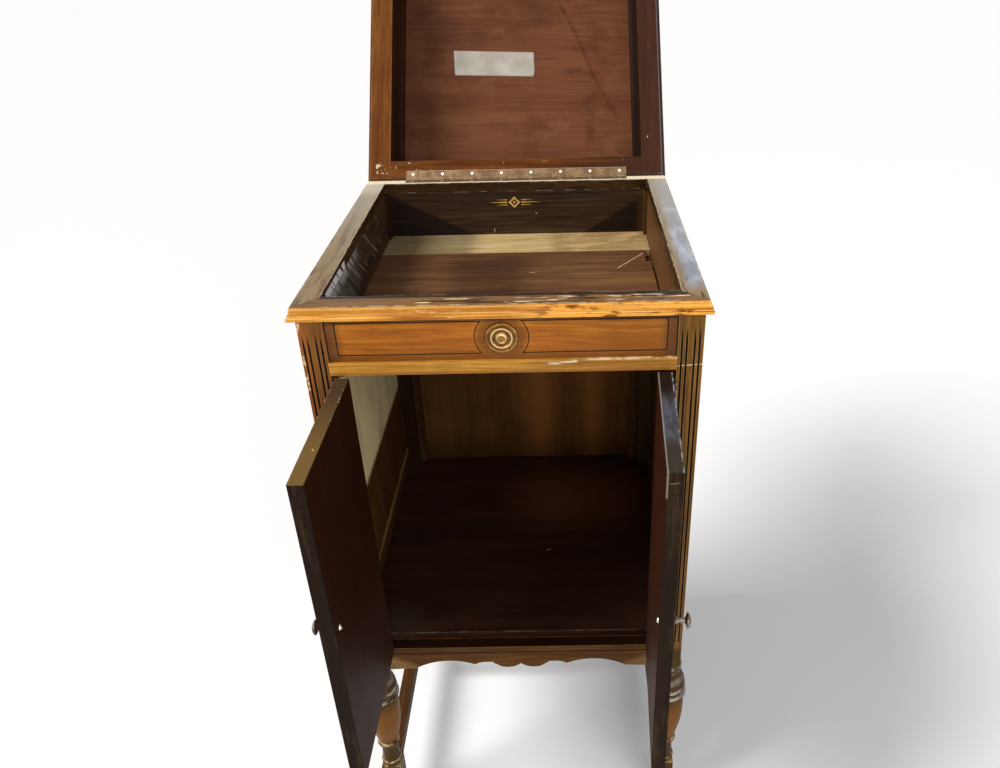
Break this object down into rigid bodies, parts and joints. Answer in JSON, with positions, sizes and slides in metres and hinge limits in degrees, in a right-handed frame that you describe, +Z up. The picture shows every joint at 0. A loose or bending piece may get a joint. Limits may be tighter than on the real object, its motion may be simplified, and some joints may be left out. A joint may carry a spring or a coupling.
{
  "type": "gramophone cabinet",
  "caption": "Square wooden gramophone cabinet on turned legs with stretchers, its box lid leaning back over an empty motor well and both doors open on a record compartment.",
  "frame": {"origin": "bottom centre of the open object's box, at floor level under the middle between the doors' free edges and the back of the tilted lid", "axes": "+X to the right seen from the front, +Y from the front to the back, +Z up"},
  "size_m": [0.5304, 1.1254, 1.3779],
  "materials": {
    "stained_walnut": "aged satin varnish over walnut stain, rubbed on the edges",
    "worn_edge_wood": "varnish worn through to golden wood",
    "raw_wood": "bare unfinished softwood",
    "dark_interior_wood": "dark stain, dull varnish",
    "red_interior_wood": "red-brown stain, thin varnish",
    "antique_brass": "tarnished",
    "dark_bronze": "dark bronzed, worn bright on the rim",
    "nickel_steel": "dull plated steel"
  },
  "bodies": {
    "cabinet": {"rim_front": "worn_edge_wood", "rim_rear": "raw_wood", "rim_left": "stained_walnut", "rim_right": "stained_walnut", "front_left_leg": "stained_walnut", "front_right_leg": "stained_walnut", "rear_left_leg": "stained_walnut", "rear_right_leg": "stained_walnut", "frieze_panel": "stained_walnut", "rosette": "antique_brass", "head_rail": "stained_walnut", "left_side_panel": "stained_walnut", "right_side_panel": "stained_walnut", "back_panel": "red_interior_wood", "left_side_rail": "stained_walnut", "right_side_rail": "stained_walnut", "rear_rail": "stained_walnut", "front_apron": "stained_walnut", "apron_ears": "raw_wood", "well_wall_front": "dark_interior_wood", "well_wall_rear": "dark_interior_wood", "well_wall_left": "dark_interior_wood", "well_wall_right": "dark_interior_wood", "well_board_front": "dark_interior_wood", "well_board_rear": "raw_wood", "shelf_cleats": "raw_wood", "compartment_floor": "dark_interior_wood", "side_battens": "raw_wood", "back_battens": "red_interior_wood", "left_stretcher": "stained_walnut", "right_stretcher": "stained_walnut", "cross_stretcher": "stained_walnut", "rim_hinge_leaf": "nickel_steel", "rim_hinge_screws": "nickel_steel", "lid_hinge_pin": "nickel_steel", "post_hinge_leaves": "antique_brass", "post_hinge_screws": "nickel_steel", "door_hinge_pins": "antique_brass"},
    "lid": {"lid_rail_front": "red_interior_wood", "lid_rail_rear": "red_interior_wood", "lid_rail_left": "red_interior_wood", "lid_rail_right": "red_interior_wood", "lid_side_front": "stained_walnut", "lid_side_rear": "stained_walnut", "lid_side_left": "stained_walnut", "lid_side_right": "stained_walnut", "lid_cove": "red_interior_wood", "lid_top": "stained_walnut", "lid_hinge_leaf": "nickel_steel", "lid_hinge_screws": "nickel_steel"},
    "left_door": {"left_door": "dark_interior_wood", "left_door_hinge_leaves": "antique_brass", "left_door_hinge_screws": "nickel_steel", "left_knob": "dark_bronze", "left_knob_screw": "nickel_steel"},
    "right_door": {"right_door": "dark_interior_wood", "right_door_hinge_leaves": "antique_brass", "right_door_hinge_screws": "nickel_steel", "right_knob": "dark_bronze", "right_knob_screw": "nickel_steel"}
  },
  "joints": [
    {"name": "lid_hinge", "type": "hinge", "parent": "cabinet", "child": "lid", "pos_m": [0, 0.17279, 0.98015], "axis": [1, 0, 0], "range_deg": [0, 128.5]},
    {"name": "left_door_hinge", "type": "hinge", "parent": "cabinet", "child": "left_door", "pos_m": [-0.2185, -0.34031, 0.639], "axis": [0, 0, 1], "range_deg": [-80, 90.3]},
    {"name": "right_door_hinge", "type": "hinge", "parent": "cabinet", "child": "right_door", "pos_m": [0.2185, -0.34031, 0.639], "axis": [0, 0, 1], "range_deg": [-86.8, 82.5]}
  ]
}
